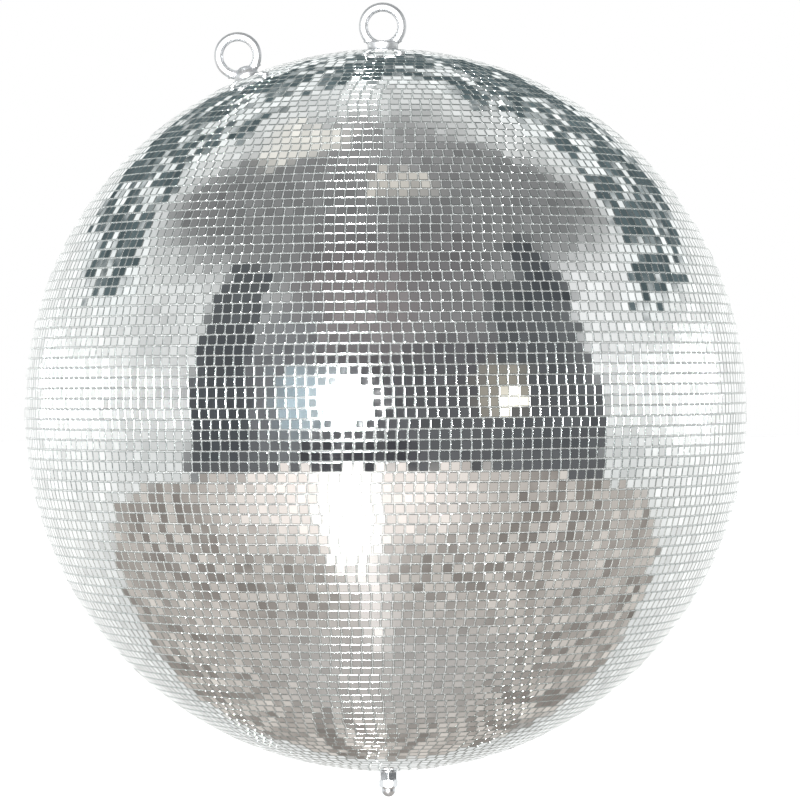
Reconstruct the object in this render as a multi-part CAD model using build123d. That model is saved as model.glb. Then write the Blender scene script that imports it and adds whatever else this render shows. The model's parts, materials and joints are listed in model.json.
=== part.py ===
"""Mirror ball, 75 cm, hung by a ring eye: a spindle with the eye on top, and the ball that turns on it."""

import os
from math import asin, cos, degrees, radians, sin, sqrt, tan

from build123d import *

# Driving dimensions, millimetres and degrees. The ball's centre is the working origin.
# Every node is lowered by drop at the end, which puts the origin in the middle of the main eye.
ball_radius = 375.0
tile_thickness = 1.5
tile_edge = 9.7
tile_rows = 115
core_wall = 2.5

ring_inner_diameter = 30.5
ring_bar = 9.5
main_boss_radius = 16.0
main_boss_top = 9.0
main_boss_rounding = 2.5
safety_boss_radius = 13.0
safety_boss_skirt = 3.5
safety_boss_top = 12.5
safety_boss_margin = 1.0
safety_tilt = 22.2

rod_radius = 5.0
rod_in_eye = 7.0
rod_in_cap = 2.0
thread_depth_over = 0.5
cap_thread_depth = 3.0
cap_straight = 4.0
running_clearance = 0.06
thread_clearance = 0.05
washer_clearance = 0.25
nut_flats = 17.0
nut_height = 8.0
cap_dome_radius = 7.4
cap_dome_height = 10.2
washer_radius = 10.0
washer_thickness = 2.3
spring_washer_thickness = 2.5
spring_washer_split = 1.0
spring_washer_slant = 20.0
axial_play = 0.4

plate_radius = 60.0
plate_thickness = 2.0
plate_screw_circle = 45.0
plate_screw_count = 6
bush_radius = 9.0
bush_flange_radius = 16.0
bush_flange_thickness = 3.0
bush_spigot = 16.0
tube_wall = 2.5
seam_band_height = 40.0
seam_band_thickness = 3.0

screw_radius = 2.5
screw_head_radius = 4.6
screw_head_height = 2.3
screw_sink = 0.1
plate_screw_length = 12.0
strap_screw_length = 14.0
screw_nut_flats = 8.0
screw_nut_height = 4.0
strap_width = 30.0
strap_thickness = 2.0
strap_reach = 165.0
strap_screw_circles = (31.0, 51.0)
strap_start = 22.0
safety_shank_end = 16.0
spacer_radius = 25.0
cover_radius = 19.0
cover_thickness = 1.5
cover_sink = 0.5
pin_radius = 1.5
pin_inset = 0.5

rows_per_band = 5
rows_in_end_band = 3
rows_left_open = 2

# Worked out from the driving dimensions.
core_radius = ball_radius - tile_thickness
core_inside = core_radius - core_wall
fit_gap = 0.05
hole_gap = 0.1
plate_hole_gap = 0.2
plate_outside = core_inside - fit_gap
plate_inside = plate_outside - plate_thickness
strap_outside = plate_inside - fit_gap
strap_inside = strap_outside - strap_thickness
ring_radius = (ring_inner_diameter + ring_bar) / 2
ring_outer_radius = ring_radius + ring_bar / 2
ring_height = ball_radius + ring_outer_radius
drop = -ring_height
cover_seat = core_radius - cover_sink
bolt_hole = rod_radius + 0.3
bush_bore = rod_radius + running_clearance
bush_hole = bush_radius + hole_gap
flange_seat = sqrt(plate_inside**2 - bush_flange_radius**2) - fit_gap
flange_foot = flange_seat - bush_flange_thickness
row_angle = 180.0 / tile_rows
lock_nut_top = -(ball_radius + washer_thickness)
cap_nut_top = lock_nut_top - nut_height
pin_height = ball_radius + main_boss_top / 2
big = 2 * ball_radius


def turned(*edges):
    """A solid of revolution about Z from profile edges drawn in X and Z, closed along the axis."""
    return revolve(Plane.XZ * make_face(edges), Axis.Z, 360)


def ring_of(inner, outer, low, high):
    """A plain turned ring between two radii and two heights."""
    return turned(Polyline((inner, low), (outer, low), (outer, high), (inner, high), close=True))


def shell_of(outer, inner):
    """A hollow sphere between two radii."""
    return Sphere(outer) - Sphere(inner)


def cap_centre(radius, height):
    """Radius of the circle whose cap has this base radius and height."""
    return (radius**2 + height**2) / (2 * height)


def cap_arc(radius, foot, top):
    """The arc of a domed top, from its rim to the axis."""
    curve = cap_centre(radius, top - foot)
    half = asin(min(1.0, radius / curve)) / 2
    middle = (curve * sin(half), top - curve + curve * cos(half))
    return ThreePointArc((radius, foot), middle, (0, top))


def hexagon_nut(flats, height, bore, turn=0.0):
    """A hexagon nut on Z from 0 up to its height, with both rims turned down at 30 degrees."""
    corner = flats / sqrt(3)
    rim = 0.95 * flats / 2
    slope = (corner - rim) * tan(radians(30))
    outline = [(0, 0), (rim, 0), (corner, slope), (corner, height - slope), (rim, height), (0, height)]
    hexagon = extrude(RegularPolygon(flats / 2, 6, major_radius=False, rotation=turn), height)
    nut = hexagon & turned(Polyline(*outline, close=True))
    return nut - Cylinder(bore, 3 * height)


def countersunk(length, gap=0.0):
    """A countersunk screw on Z, its head flush at height 0 and its shank down to -length."""
    head, shank = screw_head_radius + gap, screw_radius + gap
    foot = -screw_head_height - gap
    outline = [(0, 0), (head, 0), (shank, foot), (shank, -length), (0, -length)]
    return turned(Polyline(*outline, close=True))


def radial(shape, height, offset, turn):
    """Stands a shape on a radius of the ball, at height, where that radius leaves the core at offset."""
    tilt = degrees(asin(offset / core_radius))
    return Rot(Z=turn) * Rot(Y=tilt) * Pos(0, 0, height) * shape


def at_safety(shape):
    """Turns a shape built on +Z onto the safety eye's own axis, towards -X."""
    return Rot(Y=-safety_tilt) * shape


def eye_ring():
    """The closed ring, in the XZ plane, its middle on Z one ring radius above the tiles."""
    return Pos(0, 0, ring_height) * Rot(X=90) * Torus(ring_radius, ring_bar / 2)


def pole_screws(turns, offset, seat, length, gap=0.0):
    """Screws set into the core at the top, one for each turn, heads flush with its surface."""
    return [radial(countersunk(length, gap), seat, offset, turn) for turn in turns]


def pole_nuts(turns, offset, seat):
    """The nuts on those screws, their upper faces at seat."""
    nut = Pos(0, 0, -screw_nut_height) * hexagon_nut(
        screw_nut_flats, screw_nut_height, screw_radius + thread_clearance
    )
    return [radial(nut, seat, offset, turn) for turn in turns]


def mirrored(shapes):
    """The same pieces at the other pole."""
    return [shape.mirror(Plane.XY) for shape in shapes]


screw_turns = [(index + 0.5) * 360 / plate_screw_count for index in range(plate_screw_count)]
screw_seat = core_radius - screw_sink
strap_turn = [180.0]


# The spindle: the eye, the rod it is screwed to, and the stack that carries the ball.


def main_eye():
    """The hanging ring, on a low round boss with a rounded rim, tapped for the rod."""
    foot, top, edge = ball_radius + axial_play, ball_radius + main_boss_top, main_boss_rounding
    rim = (main_boss_radius - edge, top - edge)
    bow = (rim[0] + edge * sin(radians(45)), rim[1] + edge * cos(radians(45)))
    boss = turned(
        Line((0, foot), (main_boss_radius, foot)),
        Line((main_boss_radius, foot), (main_boss_radius, rim[1])),
        ThreePointArc((main_boss_radius, rim[1]), bow, (rim[0], top)),
        Line((rim[0], top), (0, top)),
        Line((0, top), (0, foot)),
    )
    thread = ring_of(0, rod_radius + thread_clearance, 0, ball_radius + rod_in_eye + thread_depth_over)
    return boss + eye_ring() - thread - lock_pin(thread_clearance)


def lock_pin(gap=0.0):
    """The spring pin across the boss and the rod."""
    length = 2 * (main_boss_radius - pin_inset + (fit_gap if gap else 0))
    return Pos(0, 0, pin_height) * Rot(Y=90) * Cylinder(pin_radius + gap, length)


def centre_rod():
    """The rod, from inside the eye's boss down into the cap nut."""
    rod = ring_of(0, rod_radius, cap_nut_top - nut_height - rod_in_cap, ball_radius + rod_in_eye)
    return rod - lock_pin(thread_clearance)


def bottom_washer():
    """The washer that the ball's lower bush bears on."""
    return ring_of(rod_radius + washer_clearance, washer_radius, lock_nut_top, -ball_radius)


def lock_nut():
    """The nut that carries the ball, its corners to front and back."""
    nut = hexagon_nut(nut_flats, nut_height, rod_radius + thread_clearance, turn=30)
    return Pos(0, 0, lock_nut_top - nut_height) * nut


def cap_nut():
    """The domed nut locked against it, its corners to left and right."""
    foot = cap_nut_top - nut_height
    tip = foot - cap_dome_height
    cap = turned(
        Line((0, foot), (cap_dome_radius, foot)),
        Line((cap_dome_radius, foot), (cap_dome_radius, foot - cap_straight)),
        cap_arc(cap_dome_radius, cap_straight - foot, -tip).mirror(Plane.XZ),
        Line((0, tip), (0, foot)),
    )
    thread = rod_radius + thread_clearance
    hexagon = Pos(0, 0, foot) * hexagon_nut(nut_flats, nut_height, thread)
    return hexagon + cap - ring_of(0, thread, foot - cap_thread_depth, lock_nut_top)


# The ball: two plastic shells, the plates and bushes that carry them, and the mirrors.


def plate_screw_holes(gap):
    """The countersunk holes for the screws of a pole plate."""
    return pole_screws(screw_turns, plate_screw_circle, screw_seat, plate_screw_length, gap)


def strap_screw_holes(gap):
    """The countersunk holes for the two screws of the strap."""
    return [
        hole
        for offset in strap_screw_circles
        for hole in pole_screws(strap_turn, offset, screw_seat, strap_screw_length, gap)
    ]


def bolt_way():
    """The hole along the safety eye's axis, through everything that its shank passes."""
    return at_safety(ring_of(0, bolt_hole, 0, big))


def half_shell():
    """The upper half of the core, flat at the pole, with holes for the bush and the plate's screws."""
    shell = shell_of(core_radius, core_inside) & Pos(0, 0, cover_seat / 2) * Box(big, big, cover_seat)
    return shell - [ring_of(0, bush_hole, 0, big), *plate_screw_holes(hole_gap)]


def upper_core():
    """The upper plastic shell, with holes for the strap's screws and the safety eye too."""
    return half_shell() - [*strap_screw_holes(hole_gap), bolt_way()]


def lower_core():
    """The lower plastic shell."""
    return half_shell().mirror(Plane.XY)


def seam_band():
    """The band glued inside both shells where they meet."""
    band = shell_of(core_inside - fit_gap, core_inside - fit_gap - seam_band_thickness)
    return band & Box(big, big, seam_band_height)


def pole_plate(more_holes=()):
    """A dished steel plate that follows the inside of the shell at the pole."""
    plate = shell_of(plate_outside, plate_inside) & ring_of(bush_hole, plate_radius, 0, big)
    return plate - [*plate_screw_holes(plate_hole_gap), *more_holes]


def flanged_bush(end):
    """A bush on the rod: a sleeve out to end, a flange under the plate, a spigot in the tube."""
    foot = flange_foot - bush_spigot
    outline = [(bush_bore, foot), (bush_radius, foot), (bush_radius, flange_foot)]
    outline += [(bush_flange_radius, flange_foot), (bush_flange_radius, flange_seat)]
    outline += [(bush_radius, flange_seat), (bush_radius, end), (bush_bore, end)]
    return turned(Polyline(*outline, close=True))


def centre_tube():
    """The tube that holds the two bushes apart and in line."""
    inside = bush_radius + fit_gap
    return ring_of(inside, inside + tube_wall, -flange_foot, flange_foot)


def cover_disc(hole):
    """The small disc that closes the mirrors at the pole."""
    return ring_of(hole, cover_radius, cover_seat, cover_seat + cover_thickness)


def safety_eye():
    """The second ring, on a domed boss, with a threaded shank through the core."""
    foot, skirt, top = core_radius + hole_gap, ball_radius + safety_boss_skirt, ball_radius + safety_boss_top
    boss = turned(
        Line((0, foot), (safety_boss_radius, foot)),
        Line((safety_boss_radius, foot), (safety_boss_radius, skirt)),
        cap_arc(safety_boss_radius, skirt, top),
        Line((0, top), (0, foot)),
    )
    shank = ring_of(0, rod_radius, strap_inside - safety_shank_end, foot)
    return at_safety(boss + eye_ring() + shank)


def safety_spacer():
    """A round packing plate between the shell and the strap."""
    pad = shell_of(plate_outside, plate_inside) & ring_of(bolt_hole, spacer_radius, 0, big)
    return at_safety(pad)


def safety_strap():
    """The strap that ties the safety eye to the top plate."""
    middle = -(strap_reach + strap_start) / 2
    strip = Pos(middle, 0, big / 4) * Box(strap_reach - strap_start, strap_width, big / 2)
    return (shell_of(strap_outside, strap_inside) & strip) - [*strap_screw_holes(plate_hole_gap), bolt_way()]


safety_washer_top = sqrt(strap_inside**2 - washer_radius**2)
spring_washer_top = safety_washer_top - washer_thickness
safety_nut_top = spring_washer_top - spring_washer_thickness


def safety_washer():
    """The flat washer under the strap."""
    return at_safety(
        ring_of(rod_radius + washer_clearance, washer_radius, spring_washer_top, safety_washer_top)
    )


def spring_washer():
    """The split spring washer under it."""
    ring = ring_of(rod_radius + hole_gap, bush_radius, safety_nut_top, spring_washer_top)
    cut = Box(2 * bush_radius, spring_washer_split, 2 * bush_radius)
    split = Pos(bush_radius, 0, safety_nut_top) * Rot(X=spring_washer_slant) * cut
    return at_safety(ring - split)


def safety_nut():
    """The nut that holds the safety eye."""
    nut = hexagon_nut(nut_flats, nut_height, rod_radius + thread_clearance)
    return at_safety(Pos(0, 0, safety_nut_top - nut_height) * nut)


def tile_row(index):
    """One row of mirrors as a flat-sided ring, lying on the core at its own angle from the pole."""
    angle = radians((index + 0.5) * row_angle)
    along, outward = Vector(cos(angle), -sin(angle)), Vector(sin(angle), cos(angle))
    half = tile_edge / 2
    corners = [
        outward * core_radius - along * half,
        outward * core_radius + along * half,
        outward * ball_radius + along * half,
        outward * ball_radius - along * half,
    ]
    row = turned(Polyline(*[(corner.X, corner.Y) for corner in corners], close=True))
    reach = abs(angle - radians(safety_tilt)) * ball_radius
    hole_radius = safety_boss_radius + safety_boss_margin
    if reach > hole_radius + tile_edge:
        return [row]
    return list((row - at_safety(ring_of(0, hole_radius, 0, big))).solids())


def band_rows():
    """The row numbers of each band, from the top pole down: short bands at the two poles."""
    first, last = rows_left_open, tile_rows - rows_left_open
    bands = [range(first, first + rows_in_end_band)]
    for start in range(first + rows_in_end_band, last - rows_in_end_band, rows_per_band):
        bands.append(range(start, start + rows_per_band))
    bands.append(range(last - rows_in_end_band, last))
    return bands


def all_nodes():
    """Every node's name with its list of solids, about the ball's centre."""
    nodes = {
        "main_eye": [main_eye()],
        "eye_lock_pin": [lock_pin()],
        "centre_rod": [centre_rod()],
        "bottom_washer": [bottom_washer()],
        "lock_nut": [lock_nut()],
        "cap_nut": [cap_nut()],
        "core_upper_shell": [upper_core()],
        "core_lower_shell": [lower_core()],
        "seam_band": [seam_band()],
        "top_plate": [pole_plate(strap_screw_holes(plate_hole_gap))],
        "bottom_plate": mirrored([pole_plate()]),
        "top_bush": [flanged_bush(cover_seat)],
        "bottom_bush": mirrored([flanged_bush(ball_radius - axial_play)]),
        "centre_tube": [centre_tube()],
        "top_cover_disc": [cover_disc(bolt_hole)],
        "bottom_cover_disc": mirrored([cover_disc(bush_hole)]),
        "safety_eye": [safety_eye()],
        "safety_spacer": [safety_spacer()],
        "safety_strap": [safety_strap()],
        "safety_washer": [safety_washer()],
        "safety_spring_washer": [spring_washer()],
        "safety_nut": [safety_nut()],
    }
    plate_screws = pole_screws(screw_turns, plate_screw_circle, screw_seat, plate_screw_length)
    plate_nuts = pole_nuts(screw_turns, plate_screw_circle, plate_inside - fit_gap)
    nodes["top_plate_screws"] = plate_screws
    nodes["top_plate_nuts"] = plate_nuts
    nodes["bottom_plate_screws"] = mirrored(plate_screws)
    nodes["bottom_plate_nuts"] = mirrored(plate_nuts)
    nodes["strap_screws"] = []
    nodes["strap_nuts"] = []
    for offset in strap_screw_circles:
        nodes["strap_screws"] += pole_screws(strap_turn, offset, screw_seat, strap_screw_length)
        nodes["strap_nuts"] += pole_nuts(strap_turn, offset, strap_inside - fit_gap)
    for number, rows in enumerate(band_rows(), start=1):
        nodes[f"tile_band_{number:02d}"] = [solid for row in rows for solid in tile_row(row)]
    return nodes


os.makedirs("parts", exist_ok=True)
for name, pieces in all_nodes().items():
    solids = [solid for piece in pieces for solid in piece.solids()]
    placed = [solid.moved(Location((0, 0, drop))) for solid in solids]
    export_step(Compound(children=placed, label=name), f"parts/{name}.step")
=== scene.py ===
"""Mirror ball: thousands of small flat mirrors in rows on a round core, hung by a ring eye."""

import json
import math

import bpy
import numpy as np
from mathutils import Matrix, Quaternion, Vector


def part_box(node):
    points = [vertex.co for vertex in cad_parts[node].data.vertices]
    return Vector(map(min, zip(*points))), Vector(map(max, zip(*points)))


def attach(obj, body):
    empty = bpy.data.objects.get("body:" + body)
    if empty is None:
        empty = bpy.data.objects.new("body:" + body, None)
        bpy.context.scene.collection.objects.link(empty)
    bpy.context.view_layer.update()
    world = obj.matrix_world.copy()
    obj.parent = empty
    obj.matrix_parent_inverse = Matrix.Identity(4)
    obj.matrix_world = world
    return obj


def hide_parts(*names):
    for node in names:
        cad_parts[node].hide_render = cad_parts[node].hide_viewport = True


bl_info = {
    "name": "Mirror ball",
    "version": (1, 0, 0),
    "blender": (4, 5, 0),
    "location": "View3D > Sidebar > Mirror ball",
    "description": "Builds the mirrors, eyes and nuts of a 75 cm mirror ball round its packed frame",
    "category": "Object",
}

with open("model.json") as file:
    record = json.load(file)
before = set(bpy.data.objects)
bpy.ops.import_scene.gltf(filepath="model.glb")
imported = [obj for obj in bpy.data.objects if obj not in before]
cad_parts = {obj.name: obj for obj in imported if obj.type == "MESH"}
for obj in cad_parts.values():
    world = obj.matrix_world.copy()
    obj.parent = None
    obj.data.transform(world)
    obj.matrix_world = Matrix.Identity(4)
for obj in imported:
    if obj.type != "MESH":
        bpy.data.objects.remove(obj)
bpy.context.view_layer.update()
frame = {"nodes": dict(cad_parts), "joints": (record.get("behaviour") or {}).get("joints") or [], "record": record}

BANDS = sorted(name for name in frame["nodes"] if name.startswith("tile_band"))
SPIN = next(joint for joint in frame["joints"] if joint["name"] == "ball_spin")
CENTRE_Z = SPIN["pos_m"][2]
WIDEST_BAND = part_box(BANDS[len(BANDS) // 2])
BALL_RADIUS = (WIDEST_BAND[1].y - WIDEST_BAND[0].y) / 2
MAIN_EYE_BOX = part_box("main_eye")
RING_OUTER = MAIN_EYE_BOX[1].z
SAFETY_MOUNT = next(mount for mount in frame["record"]["mounts"] if mount["name"] == "safety_eye")
SAFETY_AXIS = np.array(SAFETY_MOUNT["axis"])
SLOT_OF = {entry["node"]: entry["material_slot"] for entry in frame["record"]["subparts"]}
FULL_TURN = 2 * math.pi
MM = 0.001


# Settings


class MirrorSettings(bpy.types.PropertyGroup):
    """The mirrors and how evenly they are laid."""

    rows: bpy.props.IntProperty(
        name="Rows", description="Rows of mirrors from pole to pole, the bare ones at the poles too",
        default=115,
    )
    rows_left_open: bpy.props.IntProperty(
        name="Bare rows", description="Rows left out at each pole, under the cover disc", default=2
    )
    rows_in_end_band: bpy.props.IntProperty(
        name="End band", description="Rows in the first and the last band", default=3
    )
    edge: bpy.props.FloatProperty(
        name="Edge", description="Side of one mirror", default=9.7 * MM, unit="LENGTH"
    )
    thickness: bpy.props.FloatProperty(
        name="Thickness", description="Thickness of the glass", default=1.5 * MM, unit="LENGTH"
    )
    corner: bpy.props.FloatProperty(
        name="Corner", description="How much of each corner is broken off", default=0.75 * MM, unit="LENGTH"
    )
    chamfer: bpy.props.FloatProperty(
        name="Ground edge", description="Width of the ground edge round the face", default=0.55 * MM,
        unit="LENGTH",
    )
    tilt: bpy.props.FloatProperty(
        name="Tilt", description="Usual tilt of one mirror off the sphere", default=math.radians(0.5),
        unit="ROTATION",
    )
    row_drift: bpy.props.FloatProperty(
        name="Row drift", description="How far a row slips against the row above, in mirrors", default=0.2
    )
    slip: bpy.props.FloatProperty(
        name="Slip", description="How far one mirror sits out of line", default=0.06 * MM, unit="LENGTH"
    )
    bed_depth: bpy.props.FloatProperty(
        name="Bed depth", description="How far the bed lies below the mirrors' faces",
        default=0.55 * MM, unit="LENGTH",
    )
    seed: bpy.props.IntProperty(name="Seed", description="Seed of the uneven laying", default=7)
    glass: bpy.props.FloatVectorProperty(
        name="Silver", description="Colour of the silvered faces", subtype="COLOR", default=(0.92, 0.93, 0.93)
    )
    edge_colour: bpy.props.FloatVectorProperty(
        name="Cut edge", description="Colour of the cut edges", subtype="COLOR", default=(0.64, 0.65, 0.65)
    )
    bed_colour: bpy.props.FloatVectorProperty(
        name="Bed", description="Colour of the silver paint in the gaps", subtype="COLOR",
        default=(0.58, 0.59, 0.59),
    )


class EyeSettings(bpy.types.PropertyGroup):
    """The two ring eyes."""

    bar: bpy.props.FloatProperty(
        name="Bar", description="Diameter of the ring's bar", default=9.5 * MM, unit="LENGTH"
    )
    main_boss: bpy.props.FloatProperty(
        name="Main boss", description="Radius of the main eye's boss", default=MAIN_EYE_BOX[1].y,
        unit="LENGTH",
    )
    main_boss_height: bpy.props.FloatProperty(
        name="Main boss height", description="Height of its top above the mirrors", default=9 * MM,
        unit="LENGTH",
    )
    safety_boss: bpy.props.FloatProperty(
        name="Safety boss", description="Radius of the safety eye's boss", default=13 * MM, unit="LENGTH"
    )
    safety_boss_height: bpy.props.FloatProperty(
        name="Safety boss height", description="Height of its dome above the mirrors", default=12.5 * MM,
        unit="LENGTH",
    )
    bead: bpy.props.FloatProperty(
        name="Weld bead", description="Radius of the weld bead", default=0.9 * MM, unit="LENGTH"
    )
    colour: bpy.props.FloatVectorProperty(
        name="Plating", description="Colour of the bright plating", subtype="COLOR",
        default=(0.56, 0.57, 0.58),
    )


class NutSettings(bpy.types.PropertyGroup):
    """The stack under the ball."""

    flats: bpy.props.FloatProperty(
        name="Across flats", description="Width of both nuts across their flats", default=17 * MM,
        unit="LENGTH",
    )
    bore: bpy.props.FloatProperty(
        name="Bore", description="Radius of the nuts' thread", default=5.05 * MM, unit="LENGTH"
    )
    dome: bpy.props.FloatProperty(
        name="Dome", description="Radius of the domed nut's cap", default=7.4 * MM, unit="LENGTH"
    )
    colour: bpy.props.FloatVectorProperty(
        name="Zinc", description="Colour of the zinc plating", subtype="COLOR", default=(0.74, 0.76, 0.78)
    )


class StageSettings(bpy.types.PropertyGroup):
    """Camera, floor and lights."""

    distance: bpy.props.FloatProperty(
        name="Distance", description="From the camera to the middle of the ball", default=4.17, unit="LENGTH"
    )
    elevation: bpy.props.FloatProperty(
        name="Elevation", description="Camera's height above the ball's middle, as an angle",
        default=math.radians(0.46), unit="ROTATION",
    )
    roll: bpy.props.FloatProperty(
        name="Roll", description="Camera's roll", default=math.radians(-0.45), unit="ROTATION"
    )
    lens: bpy.props.FloatProperty(name="Lens", description="Focal length in millimetres", default=180.0)
    shift: bpy.props.FloatVectorProperty(
        name="Shift", description="Lens shift across and up", size=2, default=(0.018, 0.0125)
    )
    floor_drop: bpy.props.FloatProperty(
        name="Floor drop", description="From the lowest nut down to the floor", default=0.25, unit="LENGTH"
    )
    floor_colour: bpy.props.FloatVectorProperty(
        name="Floor", description="Colour of the floor", subtype="COLOR", default=(0.90, 0.90, 0.90)
    )
    flash_radiance: bpy.props.FloatProperty(
        name="Flash", description="Brightness of the soft box beside the camera", default=420.0
    )
    overhead: bpy.props.FloatProperty(
        name="Overhead", description="Strength of the soft light from above, which lifts the floor",
        default=2.8,
    )


def settings(name):
    """One of the scene's groups of settings."""
    return getattr(bpy.context.scene, "ball_" + name)


# Mesh helpers


def new_mesh(name, points, faces, smooth=True):
    """A mesh object in the scene from an array of points and a list of arrays of faces."""
    mesh = bpy.data.meshes.new(name)
    mesh.from_pydata(points.tolist(), [], [face for block in faces for face in block.tolist()])
    mesh.polygons.foreach_set("use_smooth", np.full(len(mesh.polygons), smooth))
    mesh.update()
    piece = bpy.data.objects.new(name, mesh)
    bpy.context.scene.collection.objects.link(piece)
    return piece


def grid_quads(rows, columns, wrap_rows=False):
    """Quads between rows of points. Each row closes on itself, and the rows do if wrap_rows is true."""
    row = np.arange(rows if wrap_rows else rows - 1)[:, None]
    column = np.arange(columns)[None, :]
    after = (column + 1) % columns
    above = (row + 1) % rows
    here, ahead = row * columns, above * columns
    return np.stack([here + column, here + after, ahead + after, ahead + column], -1).reshape(-1, 4)


def turned(profile, segments, flats=None, turn=0.0):
    """Points of a turned surface: radius(t) and height(t) carried round Z.

    With flats, the radius is the smooth minimum of the profile's and a hexagon's: the hexagon's radius at an
    angle is half the flats over the cosine of the angle from the nearest flat's middle. Well inside the
    flats the section stays round.
    """
    angle = np.arange(segments) * FULL_TURN / segments
    radius = np.repeat(profile[:, :1], segments, axis=1)
    if flats is not None:
        sixth = FULL_TURN / 6
        stays_round = 0.9 * flats / 2
        from_flat = (angle - turn + sixth / 2) % sixth - sixth / 2
        hexagon = flats / 2 / np.cos(from_flat)
        softness = 0.12 * MM
        gap = radius - hexagon
        radius = (radius + hexagon - np.sqrt(gap**2 + softness**2)) / 2
        radius = np.where(profile[:, :1] < stays_round, profile[:, :1], radius)
    height = np.repeat(profile[:, 1:], segments, axis=1)
    return np.stack([radius * np.cos(angle), radius * np.sin(angle), height], -1)


def closed_lathe(profile, segments, flats=None, turn=0.0):
    """Points and faces of a turned solid. The profile is a closed loop, or runs from axis to axis."""
    ring = turned(profile, segments, flats, turn)
    if profile[0, 0] > 0 or profile[-1, 0] > 0:
        return ring.reshape(-1, 3), [grid_quads(len(profile), segments, wrap_rows=True)]
    inner = ring[1:-1]
    count = len(inner) * segments
    points = np.concatenate([inner.reshape(-1, 3), [[0, 0, profile[0, 1]], [0, 0, profile[-1, 1]]]])
    column = np.arange(segments)
    after = (column + 1) % segments
    first = np.stack([np.full(segments, count), after, column], -1)
    last_row = count - segments
    last = np.stack([np.full(segments, count + 1), last_row + column, last_row + after], -1)
    return points, [grid_quads(len(inner), segments), first, last]


def joined(parts):
    """Several (points, faces) as one."""
    points, faces, start = [], [], 0
    for part_points, part_faces in parts:
        points.append(part_points)
        faces += [block + start for block in part_faces]
        start += len(part_points)
    return np.concatenate(points), faces


def arc(centre, radius, start, end, count):
    """Profile points on an arc, from one angle to another in degrees, both ends too."""
    angle = np.radians(np.linspace(start, end, count))
    return np.stack([centre[0] + radius * np.cos(angle), centre[1] + radius * np.sin(angle)], -1)


def ball_place():
    """The matrix that puts +Z pieces built about the ball's centre in their place."""
    return Matrix.Translation((0, 0, CENTRE_Z))


def put(piece, matrix):
    """Moves the piece's mesh, and leaves its object at the origin."""
    piece.data.transform(matrix)
    piece.data.update()


# Shader helpers


def feed(tree, target, values):
    """Sets a node's inputs, by name or number: each gets a value, or a link from an output socket."""
    for key, value in values.items():
        if isinstance(value, bpy.types.NodeSocket):
            tree.links.new(value, target.inputs[key])
        else:
            target.inputs[key].default_value = value


def node(tree, kind, place, values=None, **attributes):
    """A node at a grid place, with its attributes and inputs."""
    made = tree.nodes.new(kind)
    made.location = (place[0] * 200, place[1] * -180)
    for key, value in attributes.items():
        setattr(made, key, value)
    feed(tree, made, values or {})
    return made


def math_node(tree, operation, place, *operands, clamp=False):
    """A Math node's result. Each operand is a number or an output socket."""
    values = dict(enumerate(operands))
    return node(tree, "ShaderNodeMath", place, values, operation=operation, use_clamp=clamp).outputs[0]


def product(tree, place, first, *others):
    """The product of several sockets."""
    result = first
    for offset, other in enumerate(others):
        result = math_node(tree, "MULTIPLY", (place[0] + offset, place[1]), result, other)
    return result


def ramp(tree, place, value, begin, end, low=0.0, high=1.0, interpolation="LINEAR"):
    """A value carried from the span begin to end over to the span low to high, and held at its ends."""
    values = {"Value": value, "From Min": begin, "From Max": end, "To Min": low, "To Max": high}
    return node(tree, "ShaderNodeMapRange", place, values, interpolation_type=interpolation).outputs["Result"]


def step_between(tree, place, value, begin, end):
    """A smooth step from 0 at begin to 1 at end, which runs down if begin is the higher."""
    return ramp(tree, place, value, begin, end, interpolation="SMOOTHSTEP")


def noise(tree, place, vector, scale, detail=3.0, roughness=0.65):
    """A noise texture's value."""
    values = {"Vector": vector, "Scale": scale, "Detail": detail, "Roughness": roughness}
    return node(tree, "ShaderNodeTexNoise", place, values).outputs["Fac"]


def scaled_colour(tree, place, colour, factor):
    """A colour times a value."""
    values = {0: colour, "Scale": factor}
    return node(tree, "ShaderNodeVectorMath", place, values, operation="SCALE").outputs[0]


def mix_colour(tree, place, factor, first, second):
    """A colour mix. Factor and colours are values or output sockets."""
    made = node(tree, "ShaderNodeMix", place, data_type="RGBA")
    for key, value in (("Factor_Float", factor), ("A_Color", first), ("B_Color", second)):
        socket = next(entry for entry in made.inputs if entry.identifier == key)
        if isinstance(value, bpy.types.NodeSocket):
            tree.links.new(value, socket)
        elif key == "Factor_Float":
            socket.default_value = value
        else:
            socket.default_value = (*value[:3], 1.0)
    return next(entry for entry in made.outputs if entry.identifier == "Result_Color")


def new_group(name, inputs, outputs):
    """A node group: each input is (name, type, default), each output (name, type).

    With it come its inputs' sockets by name and the node that its outputs are fed to.
    """
    group = bpy.data.node_groups.new(name, "ShaderNodeTree")
    for label, kind, default in inputs:
        socket = group.interface.new_socket(name=label, in_out="INPUT", socket_type="NodeSocket" + kind)
        if default is not None:
            socket.default_value = default
    for label, kind in outputs:
        group.interface.new_socket(name=label, in_out="OUTPUT", socket_type="NodeSocket" + kind)
    entry = node(group, "NodeGroupInput", (-4, 0)).outputs
    leave = node(group, "NodeGroupOutput", (6, 0))
    return group, entry, leave


def use_group(tree, name, build, place, values):
    """A node group placed in a tree with its own values. It is built the first time."""
    group = bpy.data.node_groups.get(name) or build(name)
    return node(tree, "ShaderNodeGroup", place, values, node_tree=group)


def speckle_group(name):
    """Noise cut to a mask: 0 below its share and 1 above it, with an edge as soft as asked."""
    group, entry, leave = new_group(name, [
        ("Vector", "Vector", None), ("Scale", "Float", 40.0), ("Share", "Float", 0.5), ("Edge", "Float", 0.1),
    ], [("Mask", "Float")])
    grain = noise(group, (-2, 0), entry["Vector"], entry["Scale"], roughness=0.6)
    low = math_node(group, "SUBTRACT", (0, 1), entry["Share"], entry["Edge"])
    high = math_node(group, "ADD", (0, 2), entry["Share"], entry["Edge"])
    feed(group, leave, {"Mask": step_between(group, (2, 0), grain, low, high)})
    return group


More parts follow.
